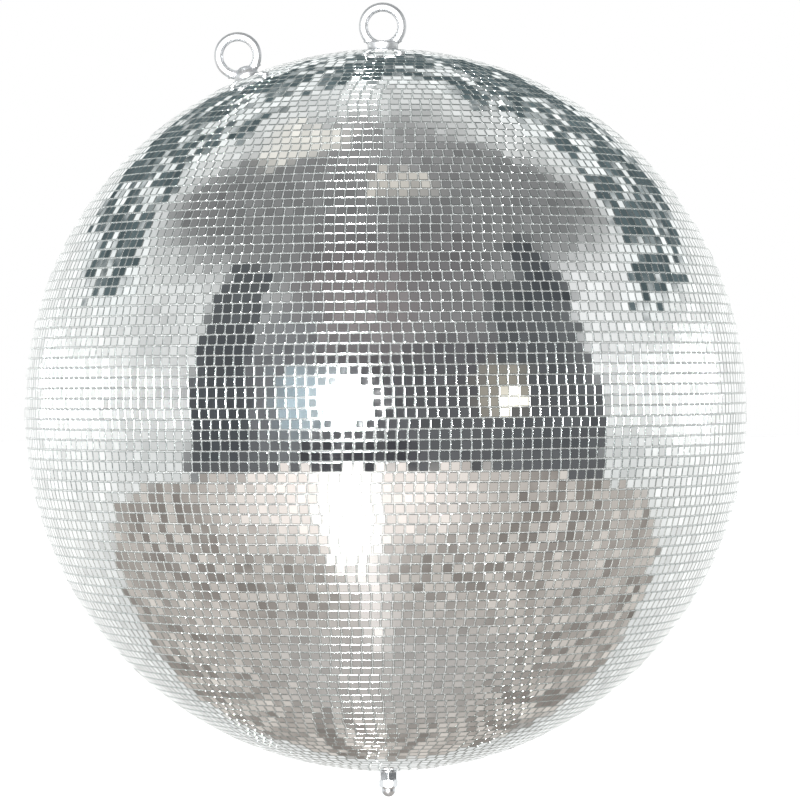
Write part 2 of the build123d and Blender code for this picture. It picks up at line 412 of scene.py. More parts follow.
def plating_group(name):
    """Bright plating: cloudy roughness, faint turning lines and small pits as a height."""
    group, entry, leave = new_group(name, [
        ("Vector", "Vector", None),
        ("Smooth", "Float", 0.12), ("Cloud", "Float", 0.12), ("Lines", "Float", 0.2),
        ("Colour", "Color", (0.8, 0.8, 0.8, 1)), ("Tarnish", "Color", (0.5, 0.5, 0.5, 1)),
    ], [("Colour", "Color"), ("Roughness", "Float"), ("Height", "Float")])
    cloud = noise(group, (-2, 0), entry["Vector"], 160.0, 4.0, 0.5)
    fine = noise(group, (-2, 2), entry["Vector"], 1900.0, 2.0, 0.5)
    drawn_out = {"Vector": entry["Vector"], "Scale": (1.0, 1.0, 14.0)}
    stretch = node(group, "ShaderNodeMapping", (-3, 3), drawn_out).outputs["Vector"]
    lines = noise(group, (-2, 3), stretch, 420.0, 3.0, 0.5)
    cloudy = math_node(group, "MULTIPLY", (0, 0), cloud, entry["Cloud"])
    streaks = math_node(group, "MULTIPLY", (0, 1), lines, entry["Lines"])
    spread = math_node(group, "MULTIPLY", (1, 1), streaks, 0.3)
    pits = math_node(group, "MULTIPLY", (2, 2), fine, 0.3)
    rough = math_node(group, "ADD", (2, 0), cloudy, entry["Smooth"])
    stain = ramp(group, (2, 3), cloud, 0.52, 0.78)
    feed(group, leave, {
        "Colour": mix_colour(group, (4, 2), stain, entry["Colour"], entry["Tarnish"]),
        "Roughness": math_node(group, "ADD", (3, 0), rough, spread, clamp=True),
        "Height": math_node(group, "ADD", (3, 1), streaks, pits),
    })
    return group


def mirror_wear_group(name):
    """What marks a silvered mirror: darkened silver creeping in from its edges, dust and wiping marks."""
    group, entry, leave = new_group(name, [
        ("Vector", "Vector", None), ("Across", "Vector", None), ("Shade", "Float", 0.5),
        ("Silver", "Color", (0.9, 0.9, 0.9, 1)), ("Creep", "Color", (0.3, 0.3, 0.3, 1)),
    ], [("Colour", "Color"), ("Roughness", "Float")])
    apart = node(group, "ShaderNodeSeparateXYZ", (-3, 0), {0: entry["Across"]}).outputs
    across, along = (
        math_node(group, "ABSOLUTE", (-2, line), apart[axis]) for line, axis in enumerate(("X", "Y"))
    )
    border = math_node(group, "MAXIMUM", (-1, 0), across, along)
    ragged = noise(group, (-2, 2), entry["Vector"], 700.0, 3.0, 0.5)
    dust = noise(group, (-2, 3), entry["Vector"], 45.0, 5.0)
    rag = math_node(group, "MULTIPLY", (0, 1), math_node(group, "SUBTRACT", (-1, 1), ragged, 0.5), 0.22)
    creep = ramp(group, (1, 0), math_node(group, "ADD", (0, 0), border, rag), 0.86, 1.02)
    tint = mix_colour(group, (2, 0), creep, entry["Silver"], entry["Creep"])
    dim = math_node(group, "MULTIPLY_ADD", (1, 2), entry["Shade"], 0.16, 0.84)
    haze = ramp(group, (1, 3), dust, 0.45, 0.8, 0.015, 0.07)
    feed(group, leave, {
        "Colour": scaled_colour(group, (3, 0), tint, dim),
        "Roughness": math_node(group, "MULTIPLY_ADD", (2, 3), creep, 0.12, haze),
    })
    return group


PATCH_INPUTS = (
    "Azimuth", "Elevation", "Centre azimuth", "Centre elevation", "Half width", "Half height", "Softness",
)


def patch_group(name):
    """A soft-edged box of directions: 1 inside its half width and half height, in degrees, and 0 outside."""
    inputs = [(label, "Float", 0.0) for label in PATCH_INPUTS]
    group, entry, leave = new_group(name, inputs, [("Mask", "Float")])
    masks = []
    for line, (angle, centre, half) in enumerate((PATCH_INPUTS[0:5:2], PATCH_INPUTS[1:6:2])):
        offset = math_node(group, "SUBTRACT", (-2, line), entry[angle], entry[centre])
        aside = math_node(group, "ABSOLUTE", (-1, line), offset)
        inside = math_node(group, "SUBTRACT", (0, line), entry[half], aside)
        minus = math_node(group, "MULTIPLY", (0, line + 3), entry["Softness"], -1.0)
        masks.append(step_between(group, (1, line), inside, minus, entry["Softness"]))
    feed(group, leave, {"Mask": math_node(group, "MULTIPLY", (3, 0), *masks)})
    return group


# Materials


def new_material(name):
    """An empty material with a Principled shader."""
    material = bpy.data.materials.new(name)
    material.use_nodes = True
    shader = material.node_tree.nodes["Principled BSDF"]
    return material, material.node_tree, shader


def object_place(tree):
    """The piece's own coordinates."""
    return node(tree, "ShaderNodeTexCoord", (-5, 0)).outputs["Object"]


def speckles(tree, where, scale, share, edge):
    """The speckle group's mask at some coordinates."""
    values = {"Vector": where, "Scale": scale, "Share": share, "Edge": edge}
    return use_group(tree, "Speckle", speckle_group, (-3, 0), values).outputs["Mask"]


def relief(tree, height, strength, distance):
    """The normal of a height."""
    values = {"Strength": strength, "Distance": distance, "Height": height}
    return node(tree, "ShaderNodeBump", (-1, 2), values).outputs["Normal"]


def grained_metal(name, colours, grain, roughness, metallic):
    """A metal with two colours and two roughnesses, mixed by speckles of some scale, share and edge."""
    material, tree, shader = new_material(name)
    mask = speckles(tree, object_place(tree), *grain)
    feed(tree, shader, {
        "Base Color": mix_colour(tree, (-1, 0), mask, *colours),
        "Roughness": ramp(tree, (-1, 1), mask, 0.0, 1.0, *roughness),
        "Metallic": metallic,
    })
    return material


def silvered_glass():
    """The mirrors' faces."""
    material, tree, shader = new_material("silvered_glass")
    across = node(tree, "ShaderNodeAttribute", (-5, 1), attribute_name="tile_place")
    shade = node(tree, "ShaderNodeAttribute", (-5, 2), attribute_name="tile_shade")
    wear = use_group(tree, "Mirror wear", mirror_wear_group, (-3, 0), {
        "Vector": object_place(tree), "Across": across.outputs["Vector"], "Shade": shade.outputs["Fac"],
        "Silver": (*settings("mirrors").glass, 1), "Creep": (0.42, 0.45, 0.44, 1),
    }).outputs
    feed(tree, shader, {"Base Color": wear["Colour"], "Roughness": wear["Roughness"], "Metallic": 1.0})
    return material


def cut_glass_edge():
    """The mirrors' ground edges: silvery as the faces are, a little green, and rougher in grains."""
    silver = settings("mirrors").edge_colour
    green = tuple(value * tint for value, tint in zip(silver, (0.80, 0.90, 0.87)))
    return grained_metal("cut_glass_edge", (silver, green), (900.0, 0.5, 0.2), (0.06, 0.17), 1.0)


def silver_paint():
    """The silver paint that shows between the mirrors: almost smooth, and mottled with dust."""
    paint = settings("mirrors").bed_colour
    dusty = tuple(value * 0.7 for value in paint)
    return grained_metal("silver_paint", (paint, dusty), (260.0, 0.55, 0.15), (0.05, 0.11), 0.85)


def plated(name, colour, tarnish, smooth, cloud, lines, bump=0.02):
    """A plated or turned metal from the plating group."""
    material, tree, shader = new_material(name)
    plating = use_group(tree, "Plating", plating_group, (-3, 0), {
        "Vector": object_place(tree), "Smooth": smooth, "Cloud": cloud, "Lines": lines,
        "Colour": (*colour, 1), "Tarnish": (*tarnish, 1),
    }).outputs
    feed(tree, shader, {
        "Base Color": plating["Colour"],
        "Roughness": plating["Roughness"],
        "Normal": relief(tree, plating["Height"], bump, 0.0005),
        "Metallic": 1.0,
    })
    return material


def moulded_plastic():
    """The white core shells: faintly mottled, with a fine moulded texture."""
    material, tree, shader = new_material("moulded_plastic")
    where = object_place(tree)
    mottle = speckles(tree, where, 30.0, 0.5, 0.3)
    grain = noise(tree, (-3, 2), where, 1400.0, 2.0, 0.5)
    feed(tree, shader, {
        "Base Color": mix_colour(tree, (-1, 0), mottle, (0.80, 0.80, 0.77), (0.72, 0.72, 0.69)),
        "Normal": relief(tree, grain, 0.15, 0.0003),
        "Roughness": 0.45,
    })
    return material


# Mirrors

# The ground edge's normals lean out by these angles, at the face and at its foot.
LIP_LEAN = math.radians(5)
FOOT_LEAN = math.radians(85)
# How far the mirrors run under the safety eye's boss, in mirrors.
UNDER_BOSS = 0.3


def band_rows(chosen, count):
    """The row numbers of each band, from the top pole down."""
    first, last = chosen.rows_left_open, chosen.rows - chosen.rows_left_open
    ends = chosen.rows_in_end_band
    middle = np.array_split(np.arange(first + ends, last - ends), count - 2)
    return [np.arange(first, first + ends), *middle, np.arange(last - ends, last)]


def laid_rows(chosen, generator):
    """For every row: its angle from the pole, its count of mirrors and its phase, in mirrors.

    A row's count is its length over the pitch, which is the length of one row angle on the ball. Its phase
    is the sum of small random slips from the rows above it.
    """
    rounding = 1e-6
    angle = (np.arange(chosen.rows) + 0.5) * math.pi / chosen.rows
    count = np.floor(FULL_TURN * np.sin(angle) / (math.pi / chosen.rows) + rounding).astype(int)
    phase = np.cumsum(generator.normal(0, chosen.row_drift, chosen.rows))
    return angle, np.maximum(count, 1), phase


def tile_template(chosen):
    """One mirror about its own middle, with Z out of its face: three rings of eight points.

    The rings are the face, its edge one chamfer lower and further out, and the foot. Each ring is a square
    with its corners cut. The corners of each face, the count of them, its material and its corners' normals
    come with the points.
    """
    half, cut, chamfer = chosen.edge / 2, chosen.corner, chosen.chamfer
    rings = []
    for size, depth in ((half - chamfer, 0.0), (half, chamfer), (half, chosen.thickness)):
        near = size - cut
        corners = [(size, -near), (size, near), (near, size), (-near, size)]
        corners += [(-size, near), (-size, -near), (-near, -size), (near, -size)]
        rings.append([(x, y, -depth) for x, y in corners])
    points = np.array(rings).reshape(-1, 3)
    side = np.arange(8)
    after = (side + 1) % 8
    ground = np.stack([side, 8 + side, 8 + after, after], -1)
    walls = ground + 8
    middle = np.array([(1, 0), (1, 1), (0, 1), (-1, 1), (-1, 0), (-1, -1), (0, -1), (1, -1)], float)
    middle /= np.linalg.norm(middle, axis=1)[:, None]
    flat = np.concatenate([middle, np.zeros((8, 1))], 1)[:, None, :]
    lip, foot = (flat * math.sin(lean) + (0, 0, math.cos(lean)) for lean in (LIP_LEAN, FOOT_LEAN))
    up, down = np.array([0, 0, 1.0]), np.array([0, 0, -1.0])
    normals = np.concatenate([
        np.tile(up, (8, 1)),
        np.concatenate([lip, foot, foot, lip], 1).reshape(-1, 3),
        np.repeat(flat, 4, axis=1).reshape(-1, 3),
        np.tile(down, (8, 1)),
    ])
    loops = np.concatenate([side, ground.ravel(), walls.ravel(), 16 + side[::-1]])
    sizes = np.array([8] + [4] * 16 + [8])
    material = np.array([0] + [1] * 17)
    return points, loops, sizes, material, normals


def tile_frames(chosen, rows, laid, generator):
    """For every mirror of some rows: its middle, the directions of its two edges and its face's normal.

    The middle is on the sphere at the row's angle from the pole and at even steps round it. The frame is the
    sphere's own there, turned by a small random angle about each of its edges.
    """
    angle, count, phase = laid
    polar = np.repeat(angle[rows], count[rows])
    step = FULL_TURN / np.repeat(count[rows], count[rows])
    number = np.concatenate([np.arange(count[row]) for row in rows])
    around = (number + np.repeat(phase[rows], count[rows])) * step - math.pi / 2
    out = np.stack([np.sin(polar) * np.cos(around), np.sin(polar) * np.sin(around), np.cos(polar)], -1)
    level = np.stack([-np.sin(around), np.cos(around), np.zeros_like(around)], -1)
    south = np.cross(level, out)
    slip = generator.normal(0, chosen.slip, (len(out), 2))
    middle = out * BALL_RADIUS + level * slip[:, :1] + south * slip[:, 1:]
    lean = generator.normal(0, chosen.tilt, (len(out), 2))
    normal = out + level * lean[:, :1] + south * lean[:, 1:]
    normal /= np.linalg.norm(normal, axis=1)[:, None]
    east = np.cross(normal, south)
    east /= np.linalg.norm(east, axis=1)[:, None]
    return middle, east, np.cross(normal, east), normal


def clear_of_safety_eye(middle, radius):
    """True for each mirror whose middle is at least radius from the safety eye's axis."""
    along = middle @ SAFETY_AXIS
    aside = np.linalg.norm(middle - along[:, None] * SAFETY_AXIS, axis=1)
    return (aside > radius) | (along < 0)


def tile_band(name, chosen, rows, laid, generator):
    """All mirrors of a band as one piece: each is the template carried to its frame."""
    middle, east, north, normal = tile_frames(chosen, rows, laid, generator)
    shade = generator.random(len(middle))
    keep = clear_of_safety_eye(middle, settings("eyes").safety_boss - UNDER_BOSS * chosen.edge)
    middle, east, north, normal, shade = (part[keep] for part in (middle, east, north, normal, shade))
    points, loops, sizes, material, corner_normals = tile_template(chosen)
    axes = np.stack([east, north, normal], 1)
    placed = np.einsum("pk,tkj->tpj", points, axes) + middle[:, None, :] + np.array([0, 0, CENTRE_Z])
    turned_normals = np.einsum("lk,tkj->tlj", corner_normals, axes)
    tiles = len(middle)
    mesh = bpy.data.meshes.new(name)
    mesh.vertices.add(tiles * len(points))
    mesh.vertices.foreach_set("co", placed.ravel())
    all_loops = loops[None, :] + len(points) * np.arange(tiles)[:, None]
    mesh.loops.add(all_loops.size)
    mesh.loops.foreach_set("vertex_index", all_loops.ravel().astype(np.int32))
    all_sizes = np.tile(sizes, tiles)
    mesh.polygons.add(len(all_sizes))
    mesh.polygons.foreach_set("loop_start", np.concatenate([[0], np.cumsum(all_sizes)[:-1]]).astype(np.int32))
    mesh.polygons.foreach_set("material_index", np.tile(material, tiles).astype(np.int32))
    mesh.polygons.foreach_set("use_smooth", np.ones(len(all_sizes), bool))
    mesh.update(calc_edges=True)
    place = mesh.attributes.new("tile_place", "FLOAT_VECTOR", "POINT")
    place.data.foreach_set("vector", np.tile(points / (chosen.edge / 2 - chosen.chamfer), (tiles, 1)).ravel())
    shades = mesh.attributes.new("tile_shade", "FLOAT", "POINT")
    shades.data.foreach_set("value", np.repeat(shade, len(points)))
    mesh.normals_split_custom_set(turned_normals.reshape(-1, 3).tolist())
    piece = bpy.data.objects.new(name, mesh)
    bpy.context.scene.collection.objects.link(piece)
    return piece


class BALL_OT_mirrors(bpy.types.Operator):
    """Lays the mirrors, one piece for each band of rows"""

    bl_idname = "ball.mirrors"
    bl_label = "Mirrors"

    def execute(self, context):
        chosen = settings("mirrors")
        generator = np.random.default_rng(chosen.seed)
        laid = laid_rows(chosen, generator)
        faces, edges = silvered_glass(), cut_glass_edge()
        for band, rows in zip(BANDS, band_rows(chosen, len(BANDS))):
            piece = tile_band(band.replace("tile_band", "mirrors"), chosen, rows, laid, generator)
            piece.data.materials.append(faces)
            piece.data.materials.append(edges)
            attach(piece, "ball")
            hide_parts(band)
        return {"FINISHED"}


class BALL_OT_adhesive(bpy.types.Operator):
    """Lays the silver-painted bed that shows between the mirrors"""

    bl_idname = "ball.adhesive"
    bl_label = "Bed"

    def execute(self, context):
        """A shell between two spheres, from just over the core to under the faces, open at the poles."""
        chosen = settings("mirrors")
        over_core, steps, segments = 0.1 * MM, 160, 256
        outer = BALL_RADIUS - chosen.bed_depth
        inner = BALL_RADIUS - chosen.thickness + over_core
        start = math.degrees(math.asin(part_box("top_cover_disc")[1].x / BALL_RADIUS))
        outside = arc((0, 0), outer, 90 - start, start - 90, steps)
        inside = arc((0, 0), inner, start - 90, 90 - start, steps)
        points, faces = closed_lathe(np.concatenate([outside, inside])[::-1], segments)
        piece = new_mesh("adhesive_bed", points, faces)
        put(piece, ball_place())
        piece.data.materials.append(silver_paint())
        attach(piece, "ball")
        return {"FINISHED"}


# Eyes

# Seed of the weld beads' ripple, and the height on the safety eye's dome where its ring is welded.
RIPPLE_SEED = 11
SAFETY_WELD = 7.3 * MM


def ring_points(radius, bar, segments=144, around=40):
    """A torus in the XZ plane about the origin: a circle of the bar's radius carried round a circle."""
    sweep = np.arange(segments)[:, None] * FULL_TURN / segments
    turn = np.arange(around)[None, :] * FULL_TURN / around
    reach = radius + bar / 2 * np.cos(turn)
    points = np.stack([reach * np.cos(sweep), bar / 2 * np.sin(turn) + 0 * sweep, reach * np.sin(sweep)], -1)
    return points.reshape(-1, 3), [grid_quads(segments, around, wrap_rows=True)]


def weld_bead(radius, bar, bead, height, side, generator, segments=120, around=14):
    """The bead where the ring meets its boss, on one side.

    Its line is where the ring's surface passes the level height, below the ring's middle: the sine of the
    sweep is height over the reach there. Its thickness ripples like laid weld.
    """
    turn = np.arange(segments) * FULL_TURN / segments
    reach = radius + bar / 2 * np.cos(turn)
    sweep = np.arcsin(np.clip(height / reach, -1, 1))
    line = np.stack([side * reach * np.cos(sweep), bar / 2 * np.sin(turn), reach * np.sin(sweep)], -1)
    ahead = np.roll(line, -1, axis=0) - np.roll(line, 1, axis=0)
    ahead /= np.linalg.norm(ahead, axis=1)[:, None]
    level = np.array([0.0, 0.0, 1.0]) - ahead * ahead[:, 2:]
    level /= np.linalg.norm(level, axis=1)[:, None]
    across = np.cross(ahead, level)
    ripple = 1 + 0.12 * np.sin(turn * 17 + generator.random() * FULL_TURN) + 0.05 * np.sin(turn * 5)
    angle = np.arange(around)[None, :] * FULL_TURN / around
    size = (bead * ripple)[:, None]
    points = line[:, None, :] + across[:, None, :] * (size * np.cos(angle))[..., None]
    points = points + level[:, None, :] * (size * np.sin(angle))[..., None]
    quads = grid_quads(segments, around, wrap_rows=True)
    return points.reshape(-1, 3), [quads if side < 0 else quads[:, ::-1]]


def eye_parts(boss_profile, bead_level, chosen, generator):
    """The ring, its boss and both weld beads, about the middle of the ring."""
    radius = RING_OUTER - chosen.bar / 2
    boss = closed_lathe(boss_profile, 128)
    beads = [
        weld_bead(radius, chosen.bar, chosen.bead, bead_level, side, generator) for side in (-1, 1)
    ]
    return joined([ring_points(radius, chosen.bar), boss, *beads])


def main_boss_profile(chosen):
    """A low round boss with a rounded rim and a small foot chamfer, closed along the axis."""
    foot = MAIN_EYE_BOX[0].z
    top = chosen.main_boss_height - RING_OUTER
    edge, lip = 2.5 * MM, 0.6 * MM
    radius = chosen.main_boss
    return np.concatenate([
        [(0, foot), (radius - lip, foot), (radius, foot + lip)],
        arc((radius - edge, top - edge), edge, 0, 90, 12),
        [(0, top)],
    ])


def safety_boss_profile(chosen):
    """A dome: a short skirt, then the arc of a circle whose middle is on the axis, closed along the axis."""
    sunk, skirt_top = 1.4 * MM, 3.5 * MM
    foot = -RING_OUTER - sunk
    skirt = skirt_top - RING_OUTER
    top = chosen.safety_boss_height - RING_OUTER
    radius, rise = chosen.safety_boss, top - skirt
    curve = (radius**2 + rise**2) / (2 * rise)
    edge = math.degrees(math.acos(radius / curve))
    return np.concatenate([
        [(0, foot), (radius, foot)],
        arc((0, top - curve), curve, edge, 89.9, 24),
        [(0, top)],
    ])


def shank_profile():
    """The safety eye's threaded shank inside the ball. Its radius swings as a cosine of the height."""
    radius, pitch, half_depth = 5 * MM, 1.5 * MM, 0.45 * MM
    sunk, length, steps = 1.3 * MM, 22.5 * MM, 90
    top = -RING_OUTER - sunk
    height = np.linspace(top - length, top, steps)
    thread = radius - half_depth * (1 + np.cos((height - top) / pitch * FULL_TURN))
    body = np.stack([thread, height], -1)
    return np.concatenate([[(0, top - length)], body, [(0, top)]])


class BALL_OT_eyes(bpy.types.Operator):
    """Makes the hanging eye and the safety eye"""

    bl_idname = "ball.eyes"
    bl_label = "Ring eyes"

    def execute(self, context):
        chosen = settings("eyes")
        generator = np.random.default_rng(RIPPLE_SEED)
        plating = plated("bright_plating", chosen.colour, (0.42, 0.43, 0.45), 0.34, 0.10, 0.10)
        level = chosen.main_boss_height - RING_OUTER
        main = new_mesh("hanging_eye", *eye_parts(main_boss_profile(chosen), level, chosen, generator))
        main.data.materials.append(plating)
        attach(main, "spindle")
        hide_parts("main_eye")
        level = SAFETY_WELD - RING_OUTER
        eye = eye_parts(safety_boss_profile(chosen), level, chosen, generator)
        safety = new_mesh("safety_ring_eye", *joined([eye, closed_lathe(shank_profile(), 48)]))
        tilt = math.atan2(SAFETY_AXIS[0], SAFETY_AXIS[2])
        put(safety, Matrix.Translation(SAFETY_MOUNT["pos_m"]) @ Matrix.Rotation(tilt, 4, "Y"))
        safety.data.materials.append(plating)
        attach(safety, "ball")
        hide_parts("safety_eye")
        return {"FINISHED"}


# Nuts

# Height and width of the chamfer that leads into each thread.
LEAD = 0.6 * MM


def nut_profile(flats, height, bore):
    """A nut's section: bore, two faces with a bearing rim, both rims turned down at 30 degrees."""
    corner = flats / math.sqrt(3)
    rim = 0.95 * flats / 2
    slope = (corner - rim) * math.tan(math.radians(30))
    steps = np.linspace(0, 1, 6)[:, None]
    lower = np.array([[rim, 0]]) * (1 - steps) + np.array([[corner, slope]]) * steps
    upper = lower[::-1] * (1, -1) + (0, height)
    wall = np.stack([np.full(5, corner), np.linspace(slope, height - slope, 7)[1:-1]], -1)
    return np.concatenate([
        [(bore + LEAD, 0)], lower, wall, upper, [(bore + LEAD, height), (bore, height - LEAD), (bore, LEAD)],
    ])


class BALL_OT_nuts(bpy.types.Operator):
    """Makes the washer, the carrying nut and the domed nut under the ball"""

    bl_idname = "ball.nuts"
    bl_label = "Nuts"

    def execute(self, context):
        chosen = settings("nuts")
        zinc = plated("bright_zinc", chosen.colour, (0.55, 0.57, 0.60), 0.14, 0.20, 0.15)
        nut = closed_lathe(self.nut(chosen), 144, chosen.flats)
        cap = closed_lathe(self.cap(chosen), 144, chosen.flats, math.pi / 6)
        self.add("carrying_nut", "lock_nut", *nut, zinc)
        self.add("domed_nut", "cap_nut", *cap, zinc)
        self.add("bearing_washer", "bottom_washer", *closed_lathe(self.washer(), 96), zinc)
        return {"FINISHED"}

    def add(self, name, replaced, points, faces, material):
        """One piece of the stack, at its node's height."""
        piece = new_mesh(name, points, faces)
        put(piece, Matrix.Translation((0, 0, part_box(replaced)[0].z)))
        piece.data.materials.append(material)
        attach(piece, "spindle")
        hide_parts(replaced)

    def nut(self, chosen):
        """The carrying nut's section, from its own foot."""
        low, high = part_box("lock_nut")
        return nut_profile(chosen.flats, high.z - low.z, chosen.bore)

    def washer(self):
        """A pressed washer's section: its upper rim is a little round."""
        low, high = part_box("bottom_washer")
        height, radius = high.z - low.z, high.x
        hole, edge = 5.25 * MM, 0.5 * MM
        return np.concatenate([
            [(hole, 0), (radius - edge, 0)],
            arc((radius - edge, edge), edge, -60, 0, 5),
            arc((radius - edge, height - edge), edge, 0, 90, 6),
            [(hole, height)],
        ])

    def cap(self, chosen):
        """The domed nut's section: dome, neck, hexagon, open thread hole, closed along the axis."""
        low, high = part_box("cap_nut")
        total = high.z - low.z
        hexagon, straight, wall = 8 * MM, 4 * MM, 3 * MM
        foot = total - hexagon
        rise = foot - straight
        curve = (chosen.dome**2 + rise**2) / (2 * rise)
        edge = math.degrees(math.acos(chosen.dome / curve))
        dome = arc((0, curve), curve, -89.9, -edge, 20)
        hexagonal = nut_profile(chosen.flats, hexagon, chosen.bore)[1:-3] + (0, foot)
        out = np.array([0, 0.1, 0.5]) * MM
        below = np.array([straight / 2, 0.3 * MM, 0])
        neck = np.stack([chosen.dome + out, foot - below], -1)
        mouth = [(chosen.bore + LEAD, total), (chosen.bore, total - LEAD)]
        hole = [*mouth, (chosen.bore, foot - wall), (0, foot - wall)]
        return np.concatenate([[(0, 0)], dome, neck, hexagonal, hole])


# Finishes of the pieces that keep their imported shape


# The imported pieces' metals by slot: name, colour, tarnish, smoothness, clouds, turning lines and relief.
SLOT_METALS = {
    "plate_steel": ("pressed_steel", (0.55, 0.57, 0.60), (0.42, 0.44, 0.46), 0.25, 0.25, 0.2, 0.05),
    "bush_brass": ("turned_brass", (0.80, 0.62, 0.34), (0.60, 0.45, 0.25), 0.15, 0.15, 0.5, 0.05),
    "tube_aluminium": ("drawn_aluminium", (0.78, 0.79, 0.80), (0.66, 0.67, 0.68), 0.22, 0.15, 0.5, 0.05),
    "cover_aluminium": ("turned_aluminium", (0.84, 0.85, 0.86), (0.72, 0.73, 0.74), 0.12, 0.15, 0.4, 0.02),
}


class BALL_OT_finishes(bpy.types.Operator):
    """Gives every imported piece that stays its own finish"""

    bl_idname = "ball.finishes"
    bl_label = "Finishes"

    def execute(self, context):
        by_slot = {slot: plated(*finish) for slot, finish in SLOT_METALS.items()}
        by_slot["core_plastic"] = moulded_plastic()
        by_slot["polished_steel"] = bpy.data.materials["bright_plating"]
        by_slot["zinc_steel"] = bpy.data.materials["bright_zinc"]
        for name, packed in frame["nodes"].items():
            material = by_slot.get(SLOT_OF[name])
            if material is None or packed.hide_render:
                continue
            if not packed.material_slots:
                packed.data.materials.append(material)
            for entry in packed.material_slots:
                entry.link = "OBJECT"
                entry.material = material
        return {"FINISHED"}


# Stage

# What the mirrors see: azimuth and elevation of each patch's middle, its half sizes and softness in degrees,
# its colour, and how much of it covers what lies under it. Azimuth 0 is towards the camera, 90 towards +X.
SURROUNDINGS = [
    ("bright_left", -180, 0, 84, 22, 16, (1.15, 1.16, 1.15), 0.95),
    ("bright_right", 180, 0, 84, 22, 16, (1.15, 1.16, 1.15), 0.95),
    ("right_wall", 84, 24, 24, 18, 10, (1.00, 1.01, 1.01), 0.8),
    ("ceiling", 0, 60, 112, 22, 8, (0.220, 0.222, 0.225), 0.95),
    ("ceiling_far", 0, 84, 180, 12, 8, (0.28, 0.277, 0.28), 0.85),
    ("lamp_left", -118, 72, 22, 9, 4, (0.98, 0.95, 0.88), 0.85),
    ("lamp_right", 15, 75, 28, 4, 3, (0.80, 0.76, 0.69), 0.8),
    ("room", 2, 30, 40, 30, 10, (0.188, 0.181, 0.187), 0.9),
    ("front_low", 5, -5, 69, 13, 2, (0.105, 0.108, 0.117), 0.95),
    ("front_middle", 0, 12, 60, 9, 4, (0.115, 0.115, 0.125), 0.9),
    ("left_screen", -52, 14, 10, 27, 2, (0.085, 0.093, 0.103), 0.95),
    ("right_screen", 52, 14, 16, 25, 2, (0.115, 0.122, 0.130), 0.95),
    ("right_screen_top", 60, 38, 8, 10, 2, (0.082, 0.090, 0.100), 0.95),
    ("room_glow", -8, 34, 18, 14, 12, (0.33, 0.29, 0.29), 0.6),
    ("pale_cloth", -32, 8, 10, 22, 4, (0.225, 0.235, 0.25), 0.7),
    ("blue_halo", -27, 4, 6, 8, 5, (0.56, 0.70, 0.77), 0.85),
    ("white_halo", -16, 5, 7, 6.5, 4, (0.90, 1.02, 1.06), 0.8),
    ("under_flash", -8, -12.5, 17, 3.5, 2, (0.060, 0.060, 0.070), 0.95),
    ("cream_lamp", 36, 6, 8, 7, 3, (0.42, 0.39, 0.33), 0.8),
    ("cream_lamp_core", 39, 3, 4, 2.5, 1.5, (2.2, 2.1, 1.8), 0.9),
]


def directions(tree):
    """Azimuth and elevation of the direction looked in, in degrees, and the direction itself."""
    direction = node(tree, "ShaderNodeTexCoord", (-8, 0)).outputs["Generated"]
    apart = node(tree, "ShaderNodeSeparateXYZ", (-7, 0), {0: direction}).outputs
    forward = math_node(tree, "MULTIPLY", (-6, 1), apart["Y"], -1.0)
    azimuth = math_node(tree, "ARCTAN2", (-5, 0), apart["X"], forward)
    elevation = math_node(tree, "ARCSINE", (-5, 1), apart["Z"])
    degree = 180 / math.pi
    return (
        math_node(tree, "MULTIPLY", (-4, 0), azimuth, degree),
        math_node(tree, "MULTIPLY", (-4, 1), elevation, degree),
        direction,
    )


def wandering(tree, line, angle, direction, scale, reach):
    """An angle pushed to and fro by a noise, by up to half of reach in degrees, for uneven outlines."""
    push = math_node(tree, "MULTIPLY", (-3, line), noise(tree, (-4, line), direction, scale), reach)
    centred = math_node(tree, "SUBTRACT", (-2, line), push, reach / 2)
    return math_node(tree, "ADD", (-1, line), angle, centred)


def studio_patch(tree, name, place, angles, box, softness, amount):
    """How much a patch covers: the mask of its box times an amount. A box is its middle and half sizes."""
    values = dict(zip(PATCH_INPUTS, (*angles, *box, softness)))
    patch = use_group(tree, "Studio patch", patch_group, place, values)
    patch.label = name
    return math_node(tree, "MULTIPLY", (place[0], place[1] + 1), patch.outputs["Mask"], amount)


def surroundings(tree):
    """The studio that the mirrors reflect, as one colour socket: pale walls, patches, leaves and a floor."""
    azimuth, elevation, direction = directions(tree)
    angles = (
        wandering(tree, 4, azimuth, direction, 5.0, 9.0),
        wandering(tree, 6, elevation, direction, 6.5, 4.0),
    )
    colour = (0.82, 0.835, 0.83)
    for column, (name, *box, softness, tint, amount) in enumerate(SURROUNDINGS):
        share = studio_patch(tree, name, (column, 2), angles, box, softness, amount)
        colour = mix_colour(tree, (column, 0), share, colour, tint)
    column = len(SURROUNDINGS)
    colour = foliage(tree, colour, angles, direction, column)
    colour = floor_below(tree, colour, angles, direction, column + 6)
    grain = noise(tree, (column + 11, 3), direction, 38.0, 4.0)
    uneven = ramp(tree, (column + 12, 3), grain, 0.3, 0.7, 0.80, 1.20)
    return scaled_colour(tree, (column + 13, 0), colour, uneven)


